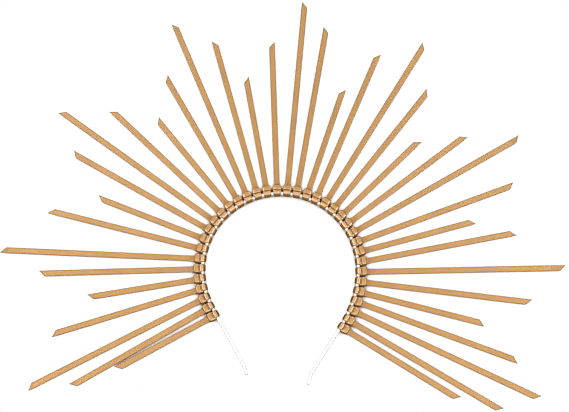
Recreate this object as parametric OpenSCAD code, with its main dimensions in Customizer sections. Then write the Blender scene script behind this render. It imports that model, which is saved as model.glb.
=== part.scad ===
// Sunburst crown: gold cable ties looped side by side round a slim plastic headband.
// It lies flat on the noses of the ties' heads, with +Y towards the top of the crown,
// +Z towards the toothed faces of the tails and the origin at the middle of the hoop.

/* [Headband] */
// Distance from the middle of the hoop to the band's centreline at the top
hoop_r = 72.2; // [70:0.1:80]
// Thickness of the band, measured outward from the head
band_t = 2.6; // [2:0.1:3]
// Depth of the band, front to back
band_depth = 5.6; // [4:0.1:7]
// Rounding of the band's edges
band_edge_r = 1; // [0.3:0.1:1.2]
// Length of the straight stretch down to the left tip
left_leg = 58; // [40:1:70]
// Length of the straight stretch down to the right tip
right_leg = 51; // [35:1:60]

/* [Ties] */
// Number of ties on the band
tie_count = 37; // [21:2:37]
// Distance from one tie to the next, along the band's centreline
tie_pitch = 9.1; // [8.9:0.1:10]
// Reach of a short ray from the band's centreline
short_reach = 113; // [80:1:140]
// Reach of a medium ray from the band's centreline
medium_reach = 154; // [110:1:180]
// Reach of a long ray from the band's centreline
long_reach = 188; // [150:1:230]

/* [Strap] */
// Width of the strap
strap_w = 5.4; // [4.2:0.1:5.6]
// Thickness of the strap
strap_t = 1.2; // [1:0.1:1.4]
// Width of the toothed strip along the strap
teeth_w = 3.6; // [2.4:0.1:3.8]
// Depth of the toothed strip below the strap's rails
teeth_d = 0.25; // [0.1:0.05:0.4]
// Length of the slanting cut at the tip, measured along the strap
cut_slant = 5.5; // [2:0.5:8]

/* [Head and loop] */
// Width of the head beside the band
head_w = 8; // [7:0.1:8.2]
// Length of the head beyond the strap's root
head_l = 5.4; // [4.5:0.1:6.5]
// Depth of the head, front to back
head_depth = 8.6; // [7:0.1:9.4]
// Width of the crease between the strap's root and the head's front
crease_w = 0.9; // [0.4:0.1:1.2]
// Depth of that crease
crease_d = 2; // [0.5:0.1:3]
// Wall of the head behind the slot, on which the crown rests
nose_wall = 1.6; // [1:0.1:2]
// Width of the strap at its root
root_w = 6.4; // [5.6:0.1:7]
// Clearance between the band and the tie at the head, the front and the back
band_gap = 0.2; // [0.15:0.05:0.4]
// Clearance between the band and the strap inside the hoop
inner_gap = 0.5; // [0.3:0.1:1]

/* [Hidden] */
$fn = 48;
gold = [0.84, 0.66, 0.42];
milky = [0.96, 0.96, 0.95];

// The band's course from the top of the hoop down each side, as runs of
// [length, degrees turned inward]. The tips turn outward again.
RUN = 0;
TURN = 1;
curl_r = 20;
tip_length = 8;
function bend(r, turn) = [r * abs(turn) * PI / 180, turn];
function line(length) = [length, 0];
left_runs = [
    bend(hoop_r, 124),
    line(left_leg),
    bend(curl_r, -12),
    line(tip_length),
];
right_runs = [
    bend(hoop_r, 87),
    bend(95, 31),
    line(right_leg),
    bend(curl_r, -16),
    line(tip_length),
];

// The ties from the lower left over the top to the lower right. A row is one tie:
// its lean off square to the band in degrees (anticlockwise is positive), what hand
// trimming left over or took off its reach, and the smooth end beyond its teeth.
LEAN = 0;
TRIM = 1;
SMOOTH = 2;
ties = [
    [-0.5, -9, 0],
    [2, -7, 0],
    [6.5, -5, 0],
    [3.5, -7, 0],
    [3, -5, 0],
    [2.5, -2, 0],
    [5.5, 2, 6],
    [1, -1, 0],
    [1, 0, 0],
    [0, 1, 0],
    [1, 1, 0],
    [0.5, -2, 0],
    [0.5, 3, 0],
    [-1.5, -7, 0],
    [-1.5, 4, 0],
    [-1.5, 8, 0],
    [0.5, 6, 0],
    [-0.5, -2, 0],
    [-0.5, 6, 0],
    [2, 17, 0],
    [0.5, 1, 0],
    [3.5, 6, 0],
    [2, 2, 0],
    [2.5, -1, 0],
    [2.5, -3, 0],
    [2.5, -7, 0],
    [2.5, 1, 8],
    [0, 9, 0],
    [2, 3, 0],
    [5, -3, 0],
    [2.5, 5, 13],
    [0, 8, 0],
    [-2, 9, 0],
    [-2.5, 6, 0],
    [-2, 2, 13],
    [-2, 10, 0],
    [1, 13, 0],
];

// The rays repeat short, medium, long, medium
reaches = [short_reach, medium_reach, long_reach, medium_reach];

// Heights above the surface that the crown lies on
strap_z = nose_wall;
band_z = strap_z + strap_t + band_gap;
loop_top = band_z + band_depth + band_gap + strap_t;

// Distances outward from the band's centreline
head_in = band_t / 2 + band_gap;
root_out = head_in + strap_t;
head_out = root_out + head_l;
loop_in = -(band_t / 2 + inner_gap + strap_t);

// The most that the band turns from one of its rings to the next, and the step
// of the angle by which its rings draw in to the round tip
ring_turn = 4;
tip_step = 20;

// Roundings and bevels of a tie
loop_r = 2.6;
shoulder_start = 0.8;
shoulder_drop = 1;
head_end_w = 6.2;
side_start = 4.6;
side_overlap = 0.2;
bevel_w = 1.5;
bevel_h = 0.7;
edge_bevel = 0.6;
slot_gap = 0.15;
slot_depth = 0.8;
tail_start = 1.6;
head_turn_max = 2.5;

// A number large enough to reach past any part of one tie
past = 20;

function tie_name(i) = str("tie_", i < 10 ? "0" : "", i);

// A place on the band is [x, y, direction outward from the band in degrees].
// This one lies a step further along a run that turns by the given angle.
function step_on(at, step, turn) =
    turn == 0
    ? [at.x + step * sin(at.z), at.y - step * cos(at.z), at.z]
    : let (r = step * 180 / (PI * turn))
      [
          at.x + r * (cos(at.z - turn) - cos(at.z)),
          at.y + r * (sin(at.z - turn) - sin(at.z)),
          at.z - turn,
      ];

// The place that lies a distance from the top of the hoop, on a band with these runs
function along(runs, distance, i = 0, at = [0, hoop_r, 90]) =
    i == len(runs) || distance <= 0
    ? at
    : let (step = min(distance, runs[i][RUN]), turn = runs[i][TURN] * step / runs[i][RUN])
      along(runs, distance - step, i + 1, step_on(at, step, turn));

// The length of all the runs before run i
function run_start(runs, i) = i == 0 ? 0 : runs[i - 1][RUN] + run_start(runs, i - 1);

// The place of a tie on the whole band, whose left side mirrors a right-hand course
function tie_place(i) =
    let (
        distance = (i - (tie_count + 1) / 2) * tie_pitch,
        at = along(distance > 0 ? right_runs : left_runs, abs(distance))
    )
    distance > 0 ? at : [-at.x, at.y, 180 - at.z];

// The row of a tie in the table, also where fewer ties are set, about the top one
function tie_row(i) = ties[i - 1 + (len(ties) - tie_count) / 2];
function tie_reach(i) = reaches[(i - 1) % len(reaches)] + tie_row(i)[TRIM];

// The sharp side of the cut: 1 is on the left looking outward, and -1 on the right.
// It changes after every second tie, except at the last one.
function cut_side(i) = i < tie_count && (i % 4 == 1 || i % 4 == 2) ? -1 : 1;

// The head turns a little on the band and the tail leans out of its slot by the rest
function head_turn(i) = max(-head_turn_max, min(head_turn_max, tie_row(i)[LEAN]));
function tail_turn(i) = tie_row(i)[LEAN] - head_turn(i);

// A rectangle with rounded corners, centred on the origin
module rounded_rectangle(w, h, r) {
    square([w - 2 * r, h], center = true);
    square([w, h - 2 * r], center = true);
    for (x = [-1, 1], y = [-1, 1])
        translate([x * (w / 2 - r), y * (h / 2 - r)]) circle(r);
}

// The band's cross-section as points of [outward, up], three to each rounded corner
section = [
    for (quarter = [0 : 3], turn = [0, 45, 90])
        let (
            angle = 90 * quarter + turn,
            outward = quarter == 0 || quarter == 3 ? 1 : -1,
            up = quarter < 2 ? 1 : -1
        )
        [
            outward * (band_t / 2 - band_edge_r) + band_edge_r * cos(angle),
            up * (band_depth / 2 - band_edge_r) + band_edge_r * sin(angle),
        ]
];

// How far along a side each ring of the band lies, with rings in every turn
function stations(runs) = [
    for (i = [0 : len(runs) - 1])
        let (steps = ceil(max(1, abs(runs[i][TURN]) / ring_turn)))
        for (k = [0 : steps - 1]) run_start(runs, i) + runs[i][RUN] * k / steps
];

// One ring of the band is its place and its share of the full cross-section.
// The last rings of a side draw in to a round tip.
function side_rings(runs) =
    let (end = run_start(runs, len(runs)), tip_r = band_t / 2)
    concat(
        [for (distance = stations(runs)) [along(runs, distance), 1]],
        [for (a = [0 : tip_step : 90 - tip_step])
            [along(runs, end - tip_r * (1 - sin(a))), cos(a)]]
    );

function mirrored(ring) = [[-ring[0].x, ring[0].y, 180 - ring[0].z], ring[1]];

module headband() {
    left = side_rings(left_runs);
    right = side_rings(right_runs);
    rings = concat(
        [for (i = [len(left) - 1 : -1 : 1]) mirrored(left[i])],
        right
    );
    sides = len(section);
    points = [
        for (ring = rings, point = section)
            [
                ring[0].x + ring[1] * point.x * cos(ring[0].z),
                ring[0].y + ring[1] * point.x * sin(ring[0].z),
                band_z + band_depth / 2 + ring[1] * point.y,
            ]
    ];
    walls = [
        for (i = [0 : len(rings) - 2], k = [0 : sides - 1])
            let (next = (k + 1) % sides)
            [
                sides * i + k,
                sides * i + next,
                sides * (i + 1) + next,
                sides * (i + 1) + k,
            ]
    ];
    first_end = [for (k = [sides - 1 : -1 : 0]) k];
    last_end = [for (k = [0 : sides - 1]) sides * (len(rings) - 1) + k];
    color(milky) polyhedron(points, concat(walls, [first_end, last_end]));
}

// The shapes below lie in a tie's own frame: X outward from the band's centreline,
// Y along the band and Z forward from the surface.

// Stands a drawing of X and Z up and gives it a width across the band
module across_band(w) {
    rotate([90, 0, 0]) linear_extrude(w, center = true) children();
}

// Stands a drawing of Y and Z up and runs it outward
module outward() {
    rotate([90, 0, 90]) linear_extrude(past, center = true) children();
}

// The head seen from the front: broad beside the band, with sides that run straight
// at first and then draw in to its outer end
module head_plan() {
    draw_in = (head_w - head_end_w) / 2;
    arc_l = head_out - side_start;
    side_r = (arc_l * arc_l + draw_in * draw_in) / (2 * draw_in);
    translate([head_in, -head_w / 2]) square([side_start - head_in, head_w]);
    intersection() {
        translate([side_start - side_overlap, -head_w / 2])
            square([arc_l + side_overlap, head_w]);
        side_disc(side_r, 1);
        side_disc(side_r, -1);
    }
}

// The disc whose edge is one curved side of the head
module side_disc(side_r, side) {
    translate([side_start, side * (side_r - head_w / 2)]) circle(side_r, $fn = 96);
}

// The head seen from its outer end: a raised panel between two bevelled wings
module head_front() {
    polygon([
        [-head_w / 2, edge_bevel],
        [-head_w / 2 + edge_bevel, 0],
        [head_w / 2 - edge_bevel, 0],
        [head_w / 2, edge_bevel],
        [head_w / 2, head_depth - bevel_h],
        [head_w / 2 - bevel_w, head_depth],
        [-head_w / 2 + bevel_w, head_depth],
        [-head_w / 2, head_depth - bevel_h],
    ]);
}

// The head seen from beside it, with its outer edges bevelled, and stepped down for
// the crease beside the strap's root
module head_side() {
    polygon([
        [head_in, 0],
        [head_out - edge_bevel, 0],
        [head_out, edge_bevel],
        [head_out, head_depth - bevel_h],
        [head_out - bevel_h, head_depth],
        [root_out + crease_w, head_depth],
        [root_out + crease_w, head_depth - crease_d],
        [head_in, head_depth - crease_d],
    ]);
}

module head() {
    difference() {
        intersection() {
            linear_extrude(head_depth) head_plan();
            outward() head_front();
            across_band(head_w) head_side();
        }
        translate([head_out - slot_depth, -strap_w / 2 - slot_gap, strap_z - slot_gap])
            cube([past, strap_w + 2 * slot_gap, strap_t + 2 * slot_gap]);
    }
}

// The strap's way round the band, seen from beside it
module loop_side() {
    outer_w = root_out - loop_in;
    outer_h = loop_top - strap_z;
    middle = [(root_out + loop_in) / 2, (loop_top + strap_z) / 2];
    difference() {
        translate(middle) rounded_rectangle(outer_w, outer_h, loop_r);
        translate(middle)
            rounded_rectangle(outer_w - 2 * strap_t, outer_h - 2 * strap_t, loop_r - strap_t);
    }
}

// The loop seen along the ray: wide across its front, and no wider than the strap
// below the bends beside the band
module loop_front() {
    narrow_top = loop_top - loop_r - shoulder_drop;
    wide_start = loop_top - shoulder_start;
    polygon([
        [-strap_w / 2, 0],
        [strap_w / 2, 0],
        [strap_w / 2, narrow_top],
        [root_w / 2, wide_start],
        [root_w / 2, loop_top],
        [-root_w / 2, loop_top],
        [-root_w / 2, wide_start],
        [-strap_w / 2, narrow_top],
    ]);
}

module loop() {
    intersection() {
        across_band(root_w) loop_side();
        outward() loop_front();
    }
    // The strap lies flat from the loop's back through the head to the tail
    translate([0, -strap_w / 2, strap_z]) cube([head_out - slot_depth, strap_w, strap_t]);
}

// The tail seen from the front, with its slanting cut, from where it leaves the head
module tail_plan(length, side) {
    polygon([
        [-tail_start, -side * strap_w / 2],
        [length - cut_slant, -side * strap_w / 2],
        [length, side * strap_w / 2],
        [-tail_start, side * strap_w / 2],
    ]);
}

module tail(length, side, smooth) {
    toothed = length - (smooth > 0 ? smooth : -past);
    translate([0, 0, strap_z]) difference() {
        linear_extrude(strap_t) tail_plan(length, side);
        translate([0, -teeth_w / 2, strap_t - teeth_d]) cube([toothed, teeth_w, strap_t]);
    }
}

module tie(i) {
    at = tie_place(i);
    color(gold) translate([at.x, at.y, 0]) rotate(at.z + head_turn(i)) {
        head();
        loop();
        translate([head_out, 0, 0]) rotate(tail_turn(i))
            tail(tie_reach(i) - head_out, cut_side(i), tie_row(i)[SMOOTH]);
    }
}

headband();
for (i = [1 : tie_count]) {
    tie(i);
}
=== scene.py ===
# %% [markdown]
# # A sunburst crown of gold cable ties
#
# The crown is thirty-seven gold cable ties looped side by side round a slim white plastic
# headband. Each tie is one moulding: a head, a strap that goes round the band, and a long
# toothed tail that stands out as a ray and was cut off at a slant.
#
# The sizes are settled in the CAD model. Here each of its plain solids gets a detailed
# piece in its place: real teeth, rounded rails, snipped ends and a coat of paint.

import math

import bmesh
import bpy
import numpy as np
from mathutils import Matrix, Vector


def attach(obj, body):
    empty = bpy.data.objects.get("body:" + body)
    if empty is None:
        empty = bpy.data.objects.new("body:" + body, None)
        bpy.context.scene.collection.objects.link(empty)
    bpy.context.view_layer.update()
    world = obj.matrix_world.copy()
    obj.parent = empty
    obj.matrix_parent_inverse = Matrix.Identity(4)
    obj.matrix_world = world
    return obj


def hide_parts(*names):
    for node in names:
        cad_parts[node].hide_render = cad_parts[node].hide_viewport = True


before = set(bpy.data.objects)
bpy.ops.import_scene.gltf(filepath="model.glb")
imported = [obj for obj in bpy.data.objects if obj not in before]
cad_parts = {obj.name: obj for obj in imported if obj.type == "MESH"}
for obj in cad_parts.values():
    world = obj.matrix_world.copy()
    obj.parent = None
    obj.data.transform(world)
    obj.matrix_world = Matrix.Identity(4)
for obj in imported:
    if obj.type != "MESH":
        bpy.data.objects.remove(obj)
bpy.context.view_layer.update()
tie_names = sorted(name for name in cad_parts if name.startswith("tie_"))
print("The model holds", len(tie_names), "ties and", len(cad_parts) - len(tie_names), "band")

# %% [markdown]
# ## The camera
#
# The photograph looks down on the crown from a little below it, so the inner walls of the
# top loops and the lower walls of the heads show, and the crown lies a little askew. A
# camera looks along its own -Z axis. Two turns set it, the roll of the picture and the tilt,
# and it then backs away from the point it looks at.

# %% Place the camera
LOOKS_AT = Vector((-0.0013, 0.0616, 0.0))
DISTANCE = 1.2
ROLL = math.radians(4.72)
TILT = math.radians(13)
SENSOR_WIDTH = 36
LENS = 80.7

camera_data = bpy.data.cameras.new("camera")
camera_data.sensor_width = SENSOR_WIDTH
camera_data.lens = LENS
camera = bpy.data.objects.new("camera", camera_data)
bpy.context.scene.collection.objects.link(camera)
camera_turn = Matrix.Rotation(ROLL, 4, "Z") @ Matrix.Rotation(TILT, 4, "X")
camera.matrix_world = (
    Matrix.Translation(LOOKS_AT) @ camera_turn @ Matrix.Translation((0, 0, DISTANCE))
)
bpy.context.scene.camera = camera
print("The camera stands at", [round(c, 3) for c in camera.matrix_world.translation])

# %% [markdown]
# ## Floor and light
#
# The photograph was taken on pure white with no shadow to be seen, save in the narrow gaps
# between the heads, which are a deep brown. A floor that gives off light of its own stays
# white under the crown. An occlusion sum takes the glow away deep in a gap and paints a
# shade there, in the brown that light picks up between gold walls. The floor is hidden from
# the rays that light the crown, so the walls that face away from the light turn as dark as
# they do in the photograph.

# %% Lay the floor
FLOOR_HALF = 20.0
GAP_REACH = 0.006
GAP_SAMPLES = 8

# Stops of the floor's glow, which the painted shade in the gaps darkens to brown: how open the floor
# is there, and its colour
DEEP_GAP = (0.26, (0.04, 0.010, 0.001))
EDGE_OF_GAP = (0.45, (0.34, 0.14, 0.03))
OPEN_FLOOR = (0.59, (1.0, 1.0, 1.0))

floor_mesh = bpy.data.meshes.new("floor")
floor_mesh.from_pydata(
    [
        (-FLOOR_HALF, -FLOOR_HALF, 0),
        (FLOOR_HALF, -FLOOR_HALF, 0),
        (FLOOR_HALF, FLOOR_HALF, 0),
        (-FLOOR_HALF, FLOOR_HALF, 0),
    ],
    [],
    [(0, 1, 2, 3)],
)
floor = bpy.data.objects.new("floor", floor_mesh)
bpy.context.scene.collection.objects.link(floor)
floor_finish = bpy.data.materials.new("pale_floor")
floor_finish.use_nodes = True
floor_shader = floor_finish.node_tree.nodes["Principled BSDF"]
floor_shader.inputs["Base Color"].default_value = (0, 0, 0, 1)
floor_shader.inputs["Specular IOR Level"].default_value = 0
floor_shader.inputs["Emission Strength"].default_value = 1.0
openness = floor_finish.node_tree.nodes.new("ShaderNodeAmbientOcclusion")
openness.samples = GAP_SAMPLES
openness.inputs["Distance"].default_value = GAP_REACH
glow = floor_finish.node_tree.nodes.new("ShaderNodeValToRGB")
glow.color_ramp.elements.new(EDGE_OF_GAP[0])
for stop, (position, colour) in zip(glow.color_ramp.elements, (DEEP_GAP, EDGE_OF_GAP, OPEN_FLOOR)):
    stop.position = position
    stop.color = (*colour, 1)
floor_finish.node_tree.links.new(openness.outputs["AO"], glow.inputs["Fac"])
floor_finish.node_tree.links.new(glow.outputs["Color"], floor_shader.inputs["Emission Color"])
floor_mesh.materials.append(floor_finish)
floor.visible_diffuse = False
floor.visible_glossy = False
print("The floor is", 2 * FLOOR_HALF, "m wide")

# %% [markdown]
# The light is a soft tent over the crown. Its cloth is dim overhead and dark near the
# ground, so the walls of the crown turn dark. Halfway up, a curved panel of bright cloth
# hangs on the left and another on the right. They fade out behind, where a low strip shines,
# and nearly so in front, and a small lamp shines straight down. Slopes find the bright cloth
# and shine, flat fronts miss it and show the plain colour of the paint. A few sums on the
# direction of the sky make it all, so nothing is painted on the crown itself.

# %% Settle the light
CLOTH = 0.55
GROUND = 0.15
PANELS = 2.15
IN_FRONT = 0.15
LAMP = 0.5
STRIP = 1.2
WARM_WHITE = (1.0, 0.98, 0.95)

# Where each soft edge starts and ends, up or back along a direction that is 1 long
CLOTH_HEM = (0.3, 0.5)
PANEL_HEM = (0.42, 0.6)
PANEL_TOP = (0.8, 0.9)
PANEL_FRONT = (-0.75, -0.4)
PANEL_BACK = (0.05, 0.35)
LAMP_RIM = (0.95, 0.98)
STRIP_HEM = (0.3, 0.4)
STRIP_TOP = (0.55, 0.68)
STRIP_ENDS = (0.3, 0.55)
print("The panels add", round(PANELS / CLOTH, 1), "times the brightness of the cloth overhead")

# %% Open the sky
world = bpy.data.worlds.new("light_tent")
bpy.context.scene.world = world
world.use_nodes = True
sky = world.node_tree
sky_light = sky.nodes["Background"]
direction = sky.nodes.new("ShaderNodeTexCoord")
axes = sky.nodes.new("ShaderNodeSeparateXYZ")
sky.links.new(direction.outputs["Generated"], axes.inputs["Vector"])


def sky_edge(axis, edge, before, beyond):
    """Brightness that goes smoothly from one value to another across a soft edge."""
    step = sky.nodes.new("ShaderNodeMapRange")
    step.interpolation_type = "SMOOTHSTEP"
    sky.links.new(axes.outputs[axis], step.inputs["Value"])
    step.inputs["From Min"].default_value = edge[0]
    step.inputs["From Max"].default_value = edge[1]
    step.inputs["To Min"].default_value = before
    step.inputs["To Max"].default_value = beyond
    return step.outputs["Result"]


def sky_sum(operation, first, second):
    """Two brightnesses added or multiplied."""
    step = sky.nodes.new("ShaderNodeMath")
    step.operation = operation
    sky.links.new(first, step.inputs[0])
    sky.links.new(second, step.inputs[1])
    return step.outputs["Value"]


print("The sky starts with", len(sky.nodes), "nodes")

# %% Hang the light
cloth = sky_edge("Z", CLOTH_HEM, GROUND, CLOTH)
panel_low = sky_edge("Z", PANEL_HEM, 0.0, 1.0)
panel_high = sky_edge("Z", PANEL_TOP, 1.0, 0.0)
panel_back = sky_edge("Y", PANEL_BACK, PANELS, 0.0)
panel_front = sky_edge("Y", PANEL_FRONT, IN_FRONT, 1.0)
panel_rise = sky_sum("MULTIPLY", panel_low, panel_high)
panel_run = sky_sum("MULTIPLY", panel_back, panel_front)
panels = sky_sum("MULTIPLY", panel_rise, panel_run)
lamp = sky_edge("Z", LAMP_RIM, 0.0, LAMP)
strip_low = sky_edge("Z", STRIP_HEM, 0.0, 1.0)
strip_high = sky_edge("Z", STRIP_TOP, 1.0, 0.0)
strip_rise = sky_sum("MULTIPLY", strip_low, strip_high)
strip = sky_sum("MULTIPLY", strip_rise, sky_edge("Y", STRIP_ENDS, 0.0, STRIP))
cloths = sky_sum("ADD", sky_sum("ADD", cloth, panels), sky_sum("ADD", lamp, strip))
sky.links.new(cloths, sky_light.inputs["Strength"])
sky_light.inputs["Color"].default_value = (*WARM_WHITE, 1)
bpy.context.scene.view_settings.view_transform = "Standard"
print("The light tent has", len(sky.nodes), "nodes")

# %% [markdown]
# The photograph was sharpened when it was made smaller, which draws a fine dark line along
# every gold edge. A mild sharpening of the finished picture does the same. It works on
# brightness as the eye sees it, so the picture is curved before it and back after it.

# %% Sharpen the picture
SHARPENING = 0.08
EYE_CURVE = 2.2

bpy.context.scene.use_nodes = True
darkroom = bpy.context.scene.node_tree
picture = darkroom.nodes["Render Layers"].outputs["Image"]
for kind, setting, amount in (
    ("CompositorNodeGamma", "Gamma", 1 / EYE_CURVE),
    ("CompositorNodeFilter", "Fac", SHARPENING),
    ("CompositorNodeGamma", "Gamma", EYE_CURVE),
):
    step = darkroom.nodes.new(kind)
    step.inputs[setting].default_value = amount
    if kind == "CompositorNodeFilter":
        step.filter_type = "SHARPEN"
    darkroom.links.new(picture, step.inputs["Image"])
    picture = step.outputs["Image"]
darkroom.links.new(picture, darkroom.nodes["Composite"].inputs["Image"])
print("The picture passes through", len(darkroom.nodes), "nodes")

# %% [markdown]
# ## Finishes
#
# The ties were sprayed with a satin gold paint. Such paint is fine metal flake in a clear
# binder: the colour drifts a little from place to place, and close up the coat has a very
# fine grain. Noise at two scales gives both, and at a third it makes the sheen uneven. The
# fronts of the loops stand highest, and a mix by height paints a highlight on them in a
# paler gold. The cut ends were snipped after painting, so they show the bare greyish nylon.

# %% Helpers for finishes
NOISE_LOW = 0.3
NOISE_HIGH = 0.7


def start_finish(name):
    """A new material: its nodes, its links, its shader and the place on the piece."""
    finish = bpy.data.materials.new(name)
    finish.use_nodes = True
    tree = finish.node_tree
    place = tree.nodes.new("ShaderNodeTexCoord").outputs["Object"]
    return finish, tree, tree.nodes["Principled BSDF"], place


def noise(tree, place, size, detail=2.0):
    """Soft random values whose features are about the given size in metres."""
    node = tree.nodes.new("ShaderNodeTexNoise")
    node.inputs["Scale"].default_value = 1 / size
    node.inputs["Detail"].default_value = detail
    tree.links.new(place, node.inputs["Vector"])
    return node.outputs["Fac"]


def between(tree, value, low, high, low_colour, high_colour):
    """Blends two colours as a value goes from low to high."""
    ramp = tree.nodes.new("ShaderNodeValToRGB")
    ramp.color_ramp.elements[0].position = low
    ramp.color_ramp.elements[1].position = high
    ramp.color_ramp.elements[0].color = (*low_colour, 1)
    ramp.color_ramp.elements[1].color = (*high_colour, 1)
    tree.links.new(value, ramp.inputs["Fac"])
    return ramp.outputs["Color"]


def number_between(tree, value, low, high):
    """Turns random values into numbers from low to high."""
    node = tree.nodes.new("ShaderNodeMapRange")
    node.inputs["From Min"].default_value = NOISE_LOW
    node.inputs["From Max"].default_value = NOISE_HIGH
    node.inputs["To Min"].default_value = low
    node.inputs["To Max"].default_value = high
    tree.links.new(value, node.inputs["Value"])
    return node.outputs["Result"]


def grain(tree, shader, value, depth, strength):
    """Raises the surface by random values, at most the given depth in metres."""
    bump = tree.nodes.new("ShaderNodeBump")
    bump.inputs["Distance"].default_value = depth
    bump.inputs["Strength"].default_value = strength
    tree.links.new(value, bump.inputs["Height"])
    tree.links.new(bump.outputs["Normal"], shader.inputs["Normal"])


print("Most of the noise lies between", NOISE_LOW, "and", NOISE_HIGH)

# %% Mix the gold paint
GOLD_DEEP = (0.60, 0.302, 0.06)
GOLD_LIGHT = (0.68, 0.342, 0.074)
# The palest gold is a painted highlight on the fronts of the loops
GOLD_HIGHLIGHT = (0.78, 0.48, 0.22)

# Metres above the floor: where the painted highlight starts, and where it is full
HIGHLIGHT_FROM = 0.0095
HIGHLIGHT_TO = 0.0099

# The colour drifts, the sheen runs from glossiest to dullest, and the flakes are raised
DRIFT_SIZE = 0.02
SHEEN_SIZE = 0.004
GLOSSIEST = 0.34
DULLEST = 0.46
FLAKE_SIZE = 0.0003
FLAKE_HIGH = 0.00003

gold_paint, tree, shader, place = start_finish("gold_paint")
drift = noise(tree, place, DRIFT_SIZE, detail=3.0)
# The painted highlight grows with height, so it lies on the fronts of the loops
painted_highlight = tree.nodes.new("ShaderNodeMapRange")
painted_highlight.inputs["From Min"].default_value = HIGHLIGHT_FROM
painted_highlight.inputs["From Max"].default_value = HIGHLIGHT_TO
height = tree.nodes.new("ShaderNodeSeparateXYZ")
tree.links.new(place, height.inputs["Vector"])
tree.links.new(height.outputs["Z"], painted_highlight.inputs["Value"])
colour = tree.nodes.new("ShaderNodeMix")
colour.data_type = "RGBA"
colour.inputs["B"].default_value = (*GOLD_HIGHLIGHT, 1)
tree.links.new(painted_highlight.outputs["Result"], colour.inputs["Factor"])
unhighlighted = between(tree, drift, NOISE_LOW, NOISE_HIGH, GOLD_DEEP, GOLD_LIGHT)
tree.links.new(unhighlighted, colour.inputs["A"])
tree.links.new(colour.outputs["Result"], shader.inputs["Base Color"])
dullness = number_between(tree, noise(tree, place, SHEEN_SIZE), GLOSSIEST, DULLEST)
tree.links.new(dullness, shader.inputs["Roughness"])
flakes = noise(tree, place, FLAKE_SIZE, detail=1.0)
grain(tree, shader, flakes, depth=FLAKE_HIGH, strength=0.35)
shader.inputs["Metallic"].default_value = 0.65
shader.inputs["Coat Weight"].default_value = 1.0
shader.inputs["Coat Roughness"].default_value = 0.22
shader.inputs["Coat IOR"].default_value = 2.05
print("The paint uses", len(tree.nodes), "nodes")

# %% Bare nylon for the cut ends
NYLON_CLEAN = (0.47, 0.41, 0.33)
NYLON_STAINED = (0.36, 0.27, 0.16)
STAIN_FROM = 0.42
STAIN_TO = 0.62
FLECK_SIZE = 0.0006
FLECK_HIGH = 0.00005

bare_nylon, tree, shader, place = start_finish("bare_nylon")
flecks = noise(tree, place, FLECK_SIZE)
stained = between(tree, flecks, STAIN_FROM, STAIN_TO, NYLON_CLEAN, NYLON_STAINED)
tree.links.new(stained, shader.inputs["Base Color"])
grain(tree, shader, flecks, depth=FLECK_HIGH, strength=0.6)
shader.inputs["Roughness"].default_value = 0.55
print("The bare nylon uses", len(tree.nodes), "nodes")

# %% [markdown]
# The band is of milky plastic. Light goes a little way into it, which scattering under the
# surface gives, and some comes through from behind, which a faint painted glow gives. Between
# the loops an occlusion sum paints a gold-brown shade on it and its glow where it is hemmed in.

# %% Milky white plastic for the band
MILKY_DIM = (0.88, 0.88, 0.87)
MILKY_BRIGHT = (0.94, 0.94, 0.93)
GOLD_SHADE = (0.28, 0.15, 0.06)
NO_SHADE = (1.0, 1.0, 1.0)
SHADED_AT = 0.5
UNSHADED_AT = 0.9
CLOUD_SIZE = 0.012
RIPPLE_SIZE = 0.0015
RIPPLE_HIGH = 0.00002

milky_plastic, tree, shader, place = start_finish("milky_plastic")
cloud = noise(tree, place, CLOUD_SIZE)
ripples = noise(tree, place, RIPPLE_SIZE)
grain(tree, shader, ripples, depth=RIPPLE_HIGH, strength=0.4)
# Where the band is hemmed in between the loops, a painted shade darkens it to gold brown
openness = tree.nodes.new("ShaderNodeAmbientOcclusion")
openness.samples = GAP_SAMPLES
openness.inputs["Distance"].default_value = GAP_REACH
painted_shade = between(tree, openness.outputs["AO"], SHADED_AT, UNSHADED_AT, GOLD_SHADE, NO_SHADE)
shaded_colour = tree.nodes.new("ShaderNodeMix")
shaded_colour.data_type = "RGBA"
shaded_colour.blend_type = "MULTIPLY"
shaded_colour.inputs["Factor"].default_value = 1.0
cloudy = between(tree, cloud, NOISE_LOW, NOISE_HIGH, MILKY_DIM, MILKY_BRIGHT)
tree.links.new(cloudy, shaded_colour.inputs["A"])
tree.links.new(painted_shade, shaded_colour.inputs["B"])
tree.links.new(shaded_colour.outputs["Result"], shader.inputs["Base Color"])
tree.links.new(painted_shade, shader.inputs["Emission Color"])
shader.inputs["Roughness"].default_value = 0.28
shader.inputs["Subsurface Weight"].default_value = 0.25
shader.inputs["Subsurface Radius"].default_value = (1.0, 1.0, 1.0)
shader.inputs["Subsurface Scale"].default_value = 0.001
# The glow is painted light, for light coming through from behind, and takes the same painted shade
shader.inputs["Emission Strength"].default_value = 0.2
print("The milky plastic uses", len(tree.nodes), "nodes")

# %% [markdown]
# ## Skinning rings
#
# Both the band and the straps are long thin mouldings of an even section. Such a shape can
# be swept along a curve object, but here the section changes on the way: teeth rise and
# fall, and tips draw in. So each shape is given as rings of points, and one function skins
# them, from each ring to the next, with a lid at both ends.

# %% Skin a row of rings
MM = 0.001
SHARP_FROM = math.radians(32)


def skin(mesh, rings):
    """Adds the closed skin of a row of rings to a bmesh, in millimetres."""
    rows = [[mesh.verts.new(point) for point in ring] for ring in rings]
    for row, following in zip(rows, rows[1:]):
        for k in range(len(row)):
            after = (k + 1) % len(row)
            mesh.faces.new((row[k], row[after], following[after], following[k]))
    mesh.faces.new(rows[0][::-1])
    mesh.faces.new(rows[-1])


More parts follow.
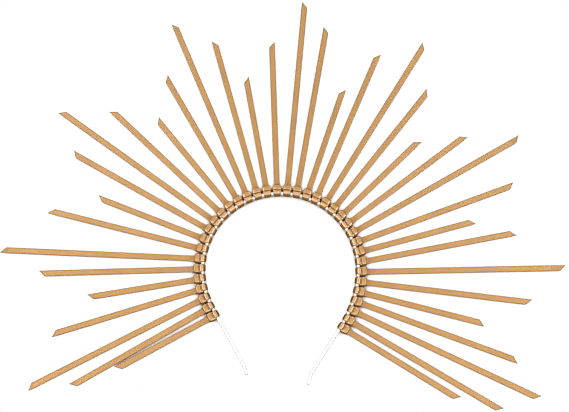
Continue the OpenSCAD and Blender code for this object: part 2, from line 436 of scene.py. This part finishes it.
def make_piece(name, mesh, finishes, node):
    """Turns a bmesh in millimetres into a piece that stands for one CAD node."""
    bmesh.ops.recalc_face_normals(mesh, faces=mesh.faces)
    bmesh.ops.scale(mesh, vec=(MM, MM, MM), verts=mesh.verts)
    data = bpy.data.meshes.new(name)
    mesh.to_mesh(data)
    mesh.free()
    data.shade_smooth()
    data.set_sharp_from_angle(angle=SHARP_FROM)
    for finish in finishes:
        data.materials.append(finish)
    piece = bpy.data.objects.new(name, data)
    bpy.context.scene.collection.objects.link(piece)
    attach(piece, "root")
    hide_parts(node)
    return piece


print("Faces that meet at over", round(math.degrees(SHARP_FROM)), "degrees show an edge")

# %% [markdown]
# ## The headband
#
# The band is a slim moulding, 2.6 mm thick and 5.6 mm deep, with rounded edges. From the
# top of the hoop each side runs down through wide bends and a straight leg, and the tip
# curls out a little. The runs are those of the CAD model, each a length and a turn.

# %% The band's course
HOOP_R = 72.2
BAND_STEP = 1.6


def bend(radius, turn):
    """A run that turns inward by some degrees at a radius."""
    return (radius * math.radians(abs(turn)), math.radians(turn))


def straight(length):
    """A run that doesn't turn."""
    return (length, 0.0)


left_runs = [bend(HOOP_R, 124), straight(58), bend(20, -12), straight(8)]
right_runs = [bend(HOOP_R, 87), bend(95, 31), straight(51), bend(20, -16), straight(8)]


def band_places(runs, step):
    """Places along a right-hand side of the band: x, y, the way outward and the distance."""
    x, y, outward, distance = 0.0, HOOP_R, math.pi / 2, 0.0
    places = [(x, y, outward, distance)]
    for length, turn in runs:
        count = math.ceil(length / step)
        part, angle = length / count, turn / count
        for _ in range(count):
            chord = part if angle == 0 else part * math.sin(angle / 2) / (angle / 2)
            x += chord * math.sin(outward - angle / 2)
            y -= chord * math.cos(outward - angle / 2)
            outward -= angle
            distance += part
            places.append((x, y, outward, distance))
    return places


right_side = band_places(right_runs, BAND_STEP)
left_side = [
    (-x, y, math.pi - outward, distance)
    for x, y, outward, distance in band_places(left_runs, BAND_STEP)
]
print("The band is", round(right_side[-1][3] + left_side[-1][3]), "mm long")

# %% Sweep the band
BAND_THICK = 2.6
BAND_DEEP = 5.6
BAND_ROUND = 1.0
BAND_MIDDLE = 5.8
CORNER_POINTS = 5
TIP_STEP = 10


def band_section():
    """The band's outline as points outward and up, with rounded corners."""
    outline = []
    for quarter in range(4):
        side = 1 if quarter in (0, 3) else -1
        up = 1 if quarter < 2 else -1
        for k in range(CORNER_POINTS):
            angle = math.radians(90 * (quarter + k / (CORNER_POINTS - 1)))
            outline.append(
                (
                    side * (BAND_THICK / 2 - BAND_ROUND) + BAND_ROUND * math.cos(angle),
                    up * (BAND_DEEP / 2 - BAND_ROUND) + BAND_ROUND * math.sin(angle),
                )
            )
    return outline


def band_ring(place, share):
    """The section at one place of the band, drawn in to a share of its size."""
    x, y, outward, _ = place
    return [
        (
            x + share * across * math.cos(outward),
            y + share * across * math.sin(outward),
            BAND_MIDDLE + share * up,
        )
        for across, up in band_section()
    ]


def side_rings(places, mirrored):
    """The rings of one side, the last ones drawn in to a round tip."""
    end = places[-1][3]
    tip_r = BAND_THICK / 2
    x, y, outward, _ = places[-1]
    rings = [band_ring(place, 1.0) for place in places if place[3] < end - tip_r]
    for degrees in range(0, 90, TIP_STEP):
        angle = math.radians(degrees)
        back = tip_r * (1 - math.sin(angle))
        way = back if mirrored else -back
        place = (x + way * math.sin(outward), y - way * math.cos(outward), outward, end)
        rings.append(band_ring(place, math.cos(angle)))
    return rings


band_mesh = bmesh.new()
left_rings = side_rings(left_side, True)
right_rings = side_rings(right_side, False)
skin(band_mesh, left_rings[:0:-1] + right_rings)
headband = make_piece("white_headband", band_mesh, [milky_plastic], "headband")
print("The band has", len(headband.data.polygons), "faces")

# %% [markdown]
# ## The strap
#
# Seen end on, the strap has a smooth face, round edges and two rails, with a toothed
# groove between them. The outline is given for one half and mirrored. How high the
# groove's floor lies is left open, because the teeth make it rise and fall along the strap.

# %% The strap's outline
STRAP_WIDE = 5.4
GROOVE_HALF = 1.8
GROOVE_FLOOR = 0.4
TOOTH_TOP = 0.53
RAIL_TOP = 0.6
BESIDE_TEETH = 0.02

# Sideways and up from the strap's middle, from its smooth face to the groove's edge
HALF_OUTLINE = [
    (1.4, -0.59),
    (2.2, -0.55),
    (2.54, -0.43),
    (2.7, -0.2),
    (2.7, 0.02),
    (2.63, 0.27),
    (2.47, 0.46),
    (2.24, 0.57),
    (2.0, RAIL_TOP),
    (GROOVE_HALF, 0.55),
]


def strap_section(wider, floor):
    """The strap's outline, so much wider than usual and with its groove's floor at a height."""
    half = [(wider * y, up) for y, up in HALF_OUTLINE]
    half.append((wider * GROOVE_HALF - BESIDE_TEETH, floor))
    return [(0.0, -RAIL_TOP)] + half + [(-y, up) for y, up in half[::-1]]


print("The strap's outline has", len(strap_section(1.0, GROOVE_FLOOR)), "points")

# %% [markdown]
# From the head the strap climbs beside the band, crosses its front, runs down inside the
# hoop and comes back under it through the slot of its own head. The strap is stiff, so
# seen from the side its loop is an oval. Its front has a short flat near the head, and a
# long slope goes down from there to the inner side. The strap is widest across the front.

# %% The way round the band
# Outward from the middle of the band, and up from the floor, in millimetres
ROOT_OUT = 2.1
LOOP_IN = -2.4
FLAT_OUT = 1.5
FLAT_IN = 0.3
SLOT_END = 8.1
FRONT_UP = 9.4
BACK_UP = 2.2

# An ellipse has a roundness of 2, and less than that makes the sides slope more
ROUNDNESS = 1.6
LOOP_STEP = 9

# The strap is wider by this factor across the front, and widens between these two heights
FRONT_WIDER = 1.185
NARROW_UP = 6.0
WIDE_UP = 8.8


def oval(angle, half_out, half_up):
    """A point of an oval about its middle, whose sides slope more than an ellipse's."""
    out, up = math.cos(angle), math.sin(angle)
    return (
        half_out * math.copysign(abs(out) ** (2 / ROUNDNESS), out),
        half_up * math.copysign(abs(up) ** (2 / ROUNDNESS), up),
    )


def way_round():
    """Places round the band as outward, up and heading, from the root to the slot's end."""
    middle_up = (FRONT_UP + BACK_UP) / 2
    half_up = (FRONT_UP - BACK_UP) / 2
    route = []
    for degrees in range(0, 91, LOOP_STEP):
        out, up = oval(math.radians(degrees), ROOT_OUT - FLAT_OUT, half_up)
        route.append((FLAT_OUT + out, middle_up + up))
    for degrees in range(90, 271, LOOP_STEP):
        out, up = oval(math.radians(degrees), FLAT_IN - LOOP_IN, half_up)
        route.append((FLAT_IN + out, middle_up + up))
    route.append((0.5 * SLOT_END, BACK_UP))
    places = []
    for k, (out, up) in enumerate(route):
        before, after = route[max(0, k - 1)], route[min(len(route) - 1, k + 1)]
        heading = math.atan2(after[1] - before[1], after[0] - before[0])
        places.append((out, up, heading))
    return places


def wider_at(up):
    """How much wider the strap is than usual, which is most across the front of the loop."""
    share = min(1.0, max(0.0, (up - NARROW_UP) / (WIDE_UP - NARROW_UP)))
    return 1 + (FRONT_WIDER - 1) * share


def loop_rings():
    """The strap's rings from its root round the band, in the tie's own frame."""
    rings = []
    for out, up, heading in way_round():
        rings.append(
            [
                (out - high * math.sin(heading), side, up + high * math.cos(heading))
                for side, high in strap_section(wider_at(up), GROOVE_FLOOR)
            ]
        )
    return rings


print("The loop has", len(loop_rings()), "rings")

# %% [markdown]
# The teeth are small ramps across the strap. Each has a steep face towards the head, which
# the head's pawl locks on, and a gentle slope towards the tip. Seen from above, the slopes
# catch the light in another way than the rails do, so they are real shapes here and not
# bumps in the paint. Four ties were cut beyond their teeth: there the groove fills in.

# %% The toothed tail
TOOTH_PITCH = 1.25
TOOTH_RISE = 0.2
END_RAMP = 1.6
SPARE = 2.0


def tail_floor(length, smooth):
    """Distances along the tail, each with the height of the groove's floor there."""
    toothed = length - smooth if smooth else length + SPARE
    floor = []
    along = 0.0
    while along + TOOTH_PITCH < toothed:
        floor.append((along, GROOVE_FLOOR))
        floor.append((along + TOOTH_RISE, TOOTH_TOP))
        along += TOOTH_PITCH
    floor.append((toothed, GROOVE_FLOOR))
    if smooth:
        floor.append((toothed + END_RAMP, TOOTH_TOP))
        floor.append((length + SPARE, TOOTH_TOP))
    return floor


def tail_rings(length, lean, smooth):
    """The tail's rings, turned by its lean where it leaves the slot."""
    rings = []
    for along, floor in tail_floor(length, smooth):
        rings.append(
            [
                (
                    SLOT_END + along * math.cos(lean) - side * math.sin(lean),
                    along * math.sin(lean) + side * math.cos(lean),
                    BACK_UP + high,
                )
                for side, high in strap_section(1.0, floor)
            ]
        )
    return rings


print("A 180 mm tail has", len(tail_floor(180.0, 0)) // 2, "teeth")

# %% [markdown]
# Side cutters pinch a strap from both faces, so a snipped end is not square: it is a blunt
# wedge, and here it also runs across the strap at a slant. Two plane cuts make it. Each
# leaves a hole, which is closed with a face of bare nylon.

# %% Snip the end
CUT_SLANT = 5.5
WEDGE_UP = -0.15
WEDGE_FRONT = math.radians(50)
WEDGE_BACK = math.radians(35)

# A tie has two finishes, the paint and then the bare nylon, and this is the second one
BARE = 1


def snip(mesh, length, lean, side):
    """Cuts the strap to length with a slanting wedge, sharp on one side."""
    slant = math.hypot(CUT_SLANT, STRAP_WIDE)
    across = Vector((STRAP_WIDE / slant, -side * CUT_SLANT / slant, 0))
    turned = Matrix.Rotation(lean, 3, "Z")
    slot_end = Vector((SLOT_END, 0, BACK_UP + WEDGE_UP))
    tip = slot_end + turned @ Vector((length, side * STRAP_WIDE / 2, 0))
    for tilt in (WEDGE_FRONT, -WEDGE_BACK):
        facing = turned @ across * math.cos(tilt) + Vector((0, 0, math.sin(tilt)))
        bmesh.ops.bisect_plane(
            mesh,
            geom=mesh.verts[:] + mesh.edges[:] + mesh.faces[:],
            plane_co=tip,
            plane_no=facing,
            clear_outer=True,
        )
        rim = [edge for edge in mesh.edges if edge.is_boundary]
        made = bmesh.ops.contextual_create(mesh, geom=rim)
        for face in made["faces"]:
            face.material_index = BARE


cut_angle = math.degrees(math.atan2(CUT_SLANT, STRAP_WIDE))
print("A cut runs", round(cut_angle), "degrees off square")

# %% [markdown]
# ## The head
#
# Seen from the front the head is broad beside the band and draws in at its outer end. Its
# front is a raised panel, nearly as wide as the strap, between two wings that slope down to
# the sides. Beside the strap's root it steps down, so a dark crease sets the two apart. The
# same loft as before makes it: sections side by side, each with its own width and height.

# %% The head's sections
HEAD_HALF = 4.0
STRAIGHT_TO = 4.6
SIDE_R = 7.26
PANEL_HALF = 2.5
WING_SLOPE = 0.47

# Outward from the band, the front's height, the back's height and what the ends draw in
HEAD_STATIONS = [
    (1.5, 6.4, 0.2, 0.12),
    (1.65, 6.6, 0.0, 0.0),
    (3.45, 6.6, 0.0, 0.0),
    (3.55, 8.1, 0.0, 0.0),
    (3.68, 8.45, 0.0, 0.0),
    (3.95, 8.6, 0.0, 0.0),
    (4.6, 8.6, 0.0, 0.0),
    (5.4, 8.6, 0.0, 0.0),
    (6.3, 8.6, 0.0, 0.0),
    (6.9, 8.57, 0.0, 0.0),
    (7.3, 8.45, 0.0, 0.0),
    (7.6, 8.27, 0.06, 0.0),
    (7.85, 8.03, 0.22, 0.03),
    (8.1, 7.7, 0.6, 0.12),
]


def head_section(out, front, back, draw_in):
    """One section of the head as points across and up."""
    reach = max(0.0, out - STRAIGHT_TO)
    half = HEAD_HALF - draw_in - (SIDE_R - math.sqrt(SIDE_R * SIDE_R - reach * reach))
    wing = max(0.1, half - PANEL_HALF)
    edge = front - WING_SLOPE * wing
    # From the back's edge up the side and over the wing to the edge of the panel
    side = [
        (half - 0.75, back),
        (half - 0.35, back + 0.1),
        (half - 0.1, back + 0.35),
        (half, back + 0.75),
        (half, edge - 0.2),
        (half - 0.07 * wing, edge + 0.02),
        (half - 0.3 * wing, edge + 0.2 * wing),
        (PANEL_HALF + 0.08 * wing, front - 0.14 * min(1.0, wing)),
        (PANEL_HALF - 0.04, front - 0.02),
        (PANEL_HALF - 0.2, front),
    ]
    return side + [(-across, up) for across, up in side[::-1]]


def head_rings():
    """The head's rings, from the band outward."""
    return [
        [(out, across, up) for across, up in head_section(out, front, back, draw_in)]
        for out, front, back, draw_in in HEAD_STATIONS
    ]


print("The head is", 2 * HEAD_HALF, "mm wide, lofted through", len(head_rings()), "sections")

# %% [markdown]
# The slot is cut through the head with a boolean, wide enough for the strap, and above it
# opens the window in which the pawl sits. Every tie came from the same mould, so one head
# is made and its mesh is used thirty-seven times.

# %% Boxes to cut with
# Two corners each: outward from the middle of the band, across, and up
SLOT = ((0, -2.8, 1.45), (9, 2.8, 2.95))
WINDOW = ((7.1, -1.7, 2.9), (9, 1.7, 4.5))


def block(low, high):
    """A box between two corners as a bmesh."""
    box = bmesh.new()
    (x0, y0, z0), (x1, y1, z1) = low, high
    skin(
        box,
        [
            [(x0, y0, z0), (x0, y1, z0), (x0, y1, z1), (x0, y0, z1)],
            [(x1, y0, z0), (x1, y1, z0), (x1, y1, z1), (x1, y0, z1)],
        ],
    )
    bmesh.ops.recalc_face_normals(box, faces=box.faces)
    return box


def as_object(name, mesh):
    """A bmesh as an object of the scene, for a modifier to work with."""
    data = bpy.data.meshes.new(name)
    mesh.to_mesh(data)
    mesh.free()
    thing = bpy.data.objects.new(name, data)
    bpy.context.scene.collection.objects.link(thing)
    return thing


print("The slot is", SLOT[1][1] - SLOT[0][1], "mm wide, and the strap", STRAP_WIDE)


# %% Cut the slot and the window
def cut_away(thing, tool):
    """Takes one shape out of another and returns what is left as a new mesh."""
    cutting = thing.modifiers.new("cut", "BOOLEAN")
    cutting.operation = "DIFFERENCE"
    cutting.solver = "EXACT"
    cutting.object = tool
    ready = bpy.context.evaluated_depsgraph_get()
    left = bpy.data.meshes.new_from_object(thing.evaluated_get(ready))
    thing.modifiers.clear()
    thing.data = left
    bpy.data.objects.remove(tool)
    return left


head_mesh = bmesh.new()
skin(head_mesh, head_rings())
bmesh.ops.recalc_face_normals(head_mesh, faces=head_mesh.faces)
one_head = as_object("one_head", head_mesh)
cut_away(one_head, as_object("slot", block(*SLOT)))
head_shape = cut_away(one_head, as_object("window", block(*WINDOW)))
bpy.data.objects.remove(one_head)
print("One head has", len(head_shape.polygons), "faces")

# %% Shape the pawl
# Its inner and its outer end, as rings in the same axes as the boxes
PAWL = [
    [(7.2, -1.45, 3.2), (7.2, 1.45, 3.2), (7.2, 1.45, 4.4), (7.2, -1.45, 4.4)],
    [(7.75, -1.45, 2.95), (7.75, 1.45, 2.95), (7.75, 1.45, 3.6), (7.75, -1.45, 3.6)],
]
print("The pawl reaches out", round(PAWL[1][0][0] - PAWL[0][0][0], 2), "mm")

# %% [markdown]
# ## Finding each tie
#
# The CAD model says where each tie is, so its place is read off the CAD node and not typed
# in again. The flat front of its loop is a narrow rectangle, and its long side gives the
# direction along the band. The farthest point is the sharp tip of the tail, and the
# farthest corner near it is the blunt one, which tells how the end was cut. Where the floor
# of the groove ends, the teeth end too.

# %% Read a tie's place off its CAD node
# Sizes of the CAD tie in millimetres: how far outward the middle of that flat front lies,
# how near the tip its blunt corner is, and how far the groove's floor is above the middle
# of the strap's thickness
FLAT_MIDDLE = -0.15
NEAR_TIP = 7.9
CAD_FLOOR_UP = 0.35

# Heights this close are taken as the same, and a shorter smooth end is left out
SAME_HEIGHT = 0.01
SMOOTH_AT_LEAST = 3.0


def tie_place(name):
    """Where a tie sits and how its tail leaves the head, in millimetres and radians."""
    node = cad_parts[name]
    points = np.array([vertex.co for vertex in node.data.vertices]) / MM
    flat, heights = points[:, :2], points[:, 2]
    front = flat[heights > heights.max() - SAME_HEIGHT]
    along = np.linalg.svd(front - front.mean(0))[2][0]
    outward = np.array([along[1], -along[0]])
    if (flat.mean(0) - front.mean(0)) @ outward < 0:
        outward = -outward
    along = np.array([-outward[1], outward[0]])
    middle = sum(axis * ((front @ axis).min() + (front @ axis).max()) / 2 for axis in (outward, along))
    origin = middle - FLAT_MIDDLE * outward
    local = np.stack([(flat - origin) @ outward, (flat - origin) @ along], 1)
    tip = local[np.argmax(np.hypot(*local.T))]
    near = local[np.hypot(*(local - tip).T) < NEAR_TIP]
    blunt = near[np.argmax(np.hypot(*(near - tip).T))]
    side = 1 if tip[1] > blunt[1] else -1
    reach = tip - (SLOT_END, 0)
    length = math.sqrt(reach @ reach - (STRAP_WIDE / 2) ** 2)
    lean = math.atan2(reach[1], reach[0]) - side * math.atan2(STRAP_WIDE / 2, length)
    floor = local[np.abs(heights - (BACK_UP + CAD_FLOOR_UP)) < SAME_HEIGHT]
    toothed = ((floor - (SLOT_END, 0)) @ (math.cos(lean), math.sin(lean))).max()
    smooth = length - toothed
    return {
        "origin": origin,
        "turn": math.atan2(outward[1], outward[0]),
        "length": length,
        "lean": lean,
        "side": side,
        "smooth": smooth if smooth > SMOOTH_AT_LEAST else 0,
    }


places = {name: tie_place(name) for name in tie_names}
lengths = [place["length"] for place in places.values()]
print("The tails are", round(min(lengths)), "to", round(max(lengths)), "mm long")

# %% [markdown]
# ## Looping the ties
#
# Each tie is put together in its own frame: the head, the strap round the band and out
# through the slot, the snip at its end. Then it is turned to its place on the band.


# %% Make every tie
def make_tie(name):
    """One gold tie in the place of its CAD node."""
    place = places[name]
    strap = bmesh.new()
    skin(strap, loop_rings() + tail_rings(place["length"], place["lean"], place["smooth"]))
    bmesh.ops.recalc_face_normals(strap, faces=strap.faces)
    snip(strap, place["length"], place["lean"], place["side"])
    strap.from_mesh(head_shape)
    skin(strap, PAWL)
    where = Matrix.Translation((*place["origin"], 0)) @ Matrix.Rotation(place["turn"], 4, "Z")
    bmesh.ops.transform(strap, matrix=where, verts=strap.verts)
    return make_piece("gold_" + name, strap, [gold_paint, bare_nylon], name)


ties = [make_tie(name) for name in tie_names]
print("The ties have", sum(len(tie.data.polygons) for tie in ties), "faces in all")

# %% [markdown]
# ## Finish
#
# The scene is brought up to date at the end.

# %% Bring the scene up to date
bpy.context.view_layer.update()
